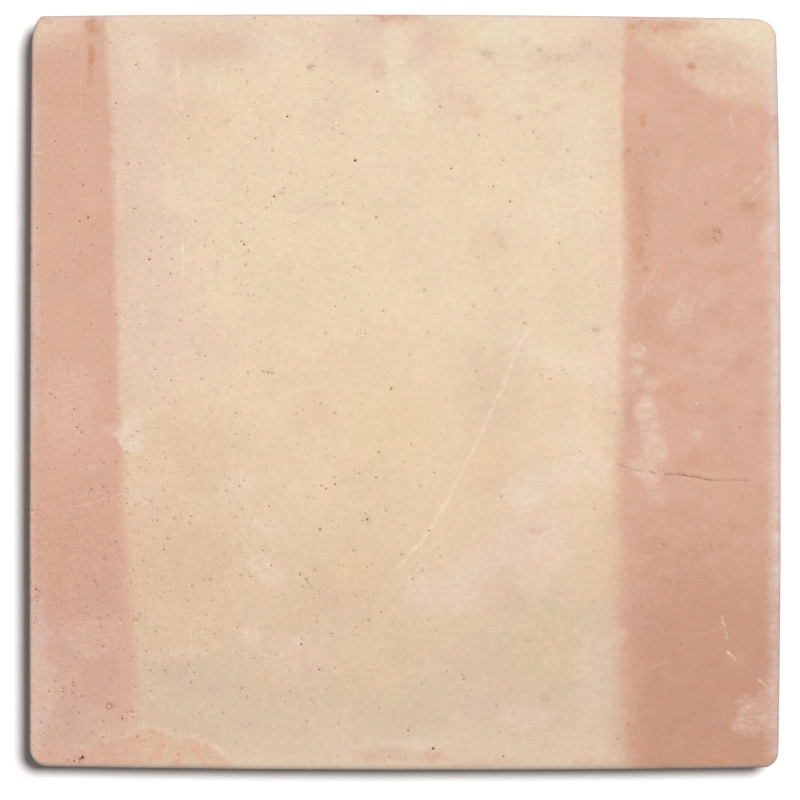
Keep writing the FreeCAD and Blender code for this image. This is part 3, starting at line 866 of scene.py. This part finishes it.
def terracottaFinish():
    finish = terracotta
    material = bpy.data.materials.new("fired_terracotta")
    tree = emptyTree(material)
    spot = newNode(tree, "TexCoord").outputs["Object"]

    def grain(size, detail=2.0, stretch=(1, 1, 1), roughness=0.5, shift=0.0):
        mapping = {"Vector": spot, "Scale": stretch, "Location": (shift,) * 3}
        where = newNode(tree, "Mapping", mapping).outputs[0]
        texture = {"Vector": where, "Scale": 1 / size, "Detail": detail, "Roughness": roughness}
        return newNode(tree, "TexNoise", texture).outputs[0]

    def ranged(value, low, high, toLow=0.0, toHigh=1.0):
        limits = {0: value, 1: low, 2: high, 3: toLow, 4: toHigh}
        return newNode(tree, "MapRange", limits).outputs[0]

    def painted(name):
        return newNode(tree, "Attribute", attribute_name=name).outputs["Fac"]

    def maths(operation, a, b, c=0.0):
        return newNode(tree, "Math", {0: a, 1: b, 2: c}, operation=operation).outputs[0]

    def times(a, b):
        return maths("MULTIPLY", a, b)

    def mixed(amount, under, over, blend="MIX"):
        colours = {0: amount, 6: under, 7: over}
        return newNode(tree, "Mix", colours, data_type="RGBA", blend_type=blend).outputs[2]

    def dots(size, near, far):  # round grains, each with a strength of its own
        cells = newNode(tree, "TexVoronoi", {"Vector": spot, "Scale": 1 / size})
        grains = ranged(cells.outputs["Distance"], far, near)
        strengths = newNode(tree, "SeparateColor", {0: cells.outputs["Color"]}).outputs[0]
        return times(grains, maths("POWER", strengths, 2.0))

    tones = []
    for size, stretchX, stretchY, depth in finish["tones"]:
        tones.append((grain(size, 3.0, (stretchX, stretchY, 1)), depth))
    fine, mottle, cloud = (pattern for pattern, _ in tones[:3])
    frays = []
    for stretch, shift, strength in finish["frays"]:
        ragged = grain(finish["fraySize"], 4.0, stretch, 0.68, shift)
        frays.append(ranged(ragged, 0.25, 0.75, -strength, strength))
    speckled = ranged(grain(finish["grimeSize"], 4.0, (0.7, 1, 1), 0.65, 0.8), 0.40, 0.66, 0.3, 1.7)

    # painted shade: the cream runs darker toward the south edge
    north = newNode(tree, "SeparateXYZ", {0: spot}).outputs[1]
    share = ranged(north, -tileShape["depth"] / 2, tileShape["depth"] / 2)
    cream = newNode(tree, "ValToRGB", {0: share})
    stops = cream.color_ramp.elements
    while len(stops) < len(finish["cream"]):
        stops.new(0.5)
    for stop, (position, colour) in zip(stops, finish["cream"]):
        stop.position = position
        stop.color = screenColour(colour)
    colour = cream.outputs[0]
    for number, (name, tint) in enumerate(finish["layers"]):
        amount = painted(name)
        partly = times(amount, maths("SUBTRACT", 1.0, amount))
        fray = frays[2] if name in finish["fibrous"] else frays[number % 2]
        frayed = maths("MULTIPLY_ADD", partly, fray, amount)
        patches = speckled if name == "grime" else ranged(mottle, 0.3, 0.7, 0.85, 1.1)
        colour = mixed(times(frayed, patches), colour, screenColour(tint))
    # the blush itself is browner in some places and pinker in others
    band = painted("patchy")
    for size, stretch, low, high, strength, tint in finish["bandPatches"]:
        patch = ranged(grain(size, 4.0, stretch, 0.6, strength), low, high, 0.0, strength)
        colour = mixed(times(band, patch), colour, screenColour(tint))
    wall = painted("wall")
    bare = ranged(cloud, 0.3, 0.7, 0.25, 0.8)
    colour = mixed(times(wall, bare), colour, screenColour(finish["wall"]))
    dusty = ranged(grain(finish["dustSize"], 5.0, (1, 1, 2.2), 0.65), 0.48, 0.70, 0.0, 0.65)
    colour = mixed(times(wall, dusty), colour, screenColour(finish["wallDust"]))

    # grain, mottling, clouds and wiped streaks lighten and darken the clay a little
    tone = 1.0
    for pattern, depth in tones:
        tone = times(tone, ranged(pattern, 0.25, 0.75, 1 - depth, 1 + depth))
    # specks of darker and paler grit, more of them to the west
    clusters = ranged(grain(finish["speckClusters"], 3.0), 0.38, 0.62, 0.25, 1.6)
    grit = times(painted("grit"), clusters)
    for size, strength, tint in finish["specks"]:
        amount = times(times(dots(size, 0.06, 0.22), grit), strength)
        colour = mixed(amount, colour, screenColour(tint))
    gritty = maths("POWER", painted("grit"), 2.0)
    grains = ranged(grain(finish["gritGrain"]), 0.25, 0.75, -0.11, 0.11)
    tone = times(tone, maths("MULTIPLY_ADD", gritty, grains, 1.0))
    # the sides are coarser: sand, and pits where it fell out, which are darkened as painted shade
    sand = grain(finish["sandSize"], 4.0, (1, 1, 1.3), 0.7)
    pits = dots(finish["pitSize"], 0.16, 0.40)
    sandy = ranged(sand, 0.25, 0.75, -0.13, 0.13)
    tone = times(tone, maths("MULTIPLY_ADD", wall, sandy, 1.0))
    tone = times(tone, maths("MULTIPLY_ADD", wall, times(pits, -0.3), 1.0))
    colour = mixed(1.0, colour, tone, "MULTIPLY")
    # warmer and cooler patches
    for size, depth in finish["hues"]:
        texture = {"Vector": spot, "Scale": 1 / size, "Detail": 2.0}
        hues = newNode(tree, "TexNoise", texture).outputs[1]
        swing = {0: hues, 1: (depth,) * 3, 2: (1 - depth / 2,) * 3}
        shades = newNode(tree, "VectorMath", swing, operation="MULTIPLY_ADD").outputs[0]
        colour = mixed(1.0, colour, shades, "MULTIPLY")
    # a pinhole or the crack has a rusty rim and painted shade at its dark bottom
    shadeAndRust = painted("shadeAndRust")
    colour = mixed(ranged(shadeAndRust, 0.0, 0.5), colour, screenColour(finish["rust"]))
    colour = mixed(ranged(shadeAndRust, 0.5, 1.0), colour, screenColour(finish["pitShade"]))

    rough = ranged(mottle, 0.3, 0.7, 0.74, 0.9)
    relief = maths("MULTIPLY_ADD", fine, 0.5, mottle)
    coarse = maths("SUBTRACT", times(sand, finish["wallRelief"]), times(pits, 0.9))
    relief = maths("MULTIPLY_ADD", wall, coarse, relief)
    raised = {"Height": relief, "Strength": 0.5, "Distance": finish["relief"]}
    bump = newNode(tree, "Bump", raised).outputs[0]
    surface = {"Base Color": colour, "Roughness": rough, "Normal": bump, "Specular IOR Level": 0.2}
    clay = newNode(tree, "BsdfPrincipled", surface)
    newNode(tree, "OutputMaterial", {"Surface": clay.outputs[0]})
    return material


tilePiece.data.materials.append(terracottaFinish())
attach(tilePiece, "root")
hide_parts("floor_tile")
print("tile finished")

# Soft studio light from the north east over a white floor.
studio = {
    "sunSlope": (0.286, 0.224),  # how far the light leans east and north for each step up
    "sunAngle": 16.2,  # degrees across, which sets how soft the shadow is
    "sunShare": 0.87,  # of the light on the face
    "skyShare": 0.11,
    "floorWidth": 8.0,
    "floorBounce": 0.55,
    "floorWhite": 1.05,  # what the camera sees of it
}


def whiteForCamera(tree):  # 1 where the camera sees the surface directly, in a mirror or through glass
    path = newNode(tree, "LightPath").outputs
    seen = path["Is Camera Ray"]
    for other in ("Is Glossy Ray", "Is Transmission Ray"):
        seen = newNode(tree, "Math", {0: seen, 1: path[other]}, operation="MAXIMUM").outputs[0]
    return seen


def studioFloor():
    half = studio["floorWidth"] / 2
    mesh = bpy.data.meshes.new("studio_floor")
    corners = [(-half, -half, 0), (half, -half, 0), (half, half, 0), (-half, half, 0)]
    mesh.from_pydata(corners, [], [(0, 1, 2, 3)])
    floor = placed("studio_floor", mesh)
    material = bpy.data.materials.new("white_floor")
    tree = emptyTree(material)
    bounce, white = studio["floorBounce"], studio["floorWhite"]
    colours = {0: whiteForCamera(tree), 6: (bounce, bounce, bounce, 1), 7: (white, white, white, 1)}
    mixed = newNode(tree, "Mix", colours, data_type="RGBA")
    paint = newNode(tree, "BsdfDiffuse", {"Color": mixed.outputs[2]})
    newNode(tree, "OutputMaterial", {"Surface": paint.outputs[0]})
    mesh.materials.append(material)


def studioLight():
    lean = Vector((*studio["sunSlope"], 1.0))
    lamp = bpy.data.lights.new("key_sun", "SUN")
    lamp.energy = studio["sunShare"] * math.pi * lean.length
    lamp.angle = math.radians(studio["sunAngle"])
    sun = placed("key_sun", lamp)
    sun.location = lean
    sun.rotation_euler = lean.to_track_quat("Z", "Y").to_euler()
    world = bpy.data.worlds.new("studio_sky")
    tree = emptyTree(world)
    light = newNode(tree, "Background", {"Strength": studio["skyShare"], "Color": (1, 1, 1, 1)})
    seen = newNode(tree, "Background", {"Strength": 1.0, "Color": (1, 1, 1, 1)})
    shaders = {0: whiteForCamera(tree), 1: light.outputs[0], 2: seen.outputs[0]}
    both = newNode(tree, "MixShader", shaders)
    newNode(tree, "OutputWorld", {"Surface": both.outputs[0]})
    bpy.context.scene.world = world


def downwardCamera():
    lens = bpy.data.cameras.new("down_camera")
    lens.lens = lookDown["lens"]
    lens.sensor_width = lookDown["sensor"]
    camera = placed("down_camera", lens)
    camera.location = (*lookDown["middle"], cameraHeight)
    bpy.context.scene.camera = camera


studioFloor()
studioLight()
downwardCamera()
bpy.context.scene.view_settings.view_transform = "Standard"
print("studio set")
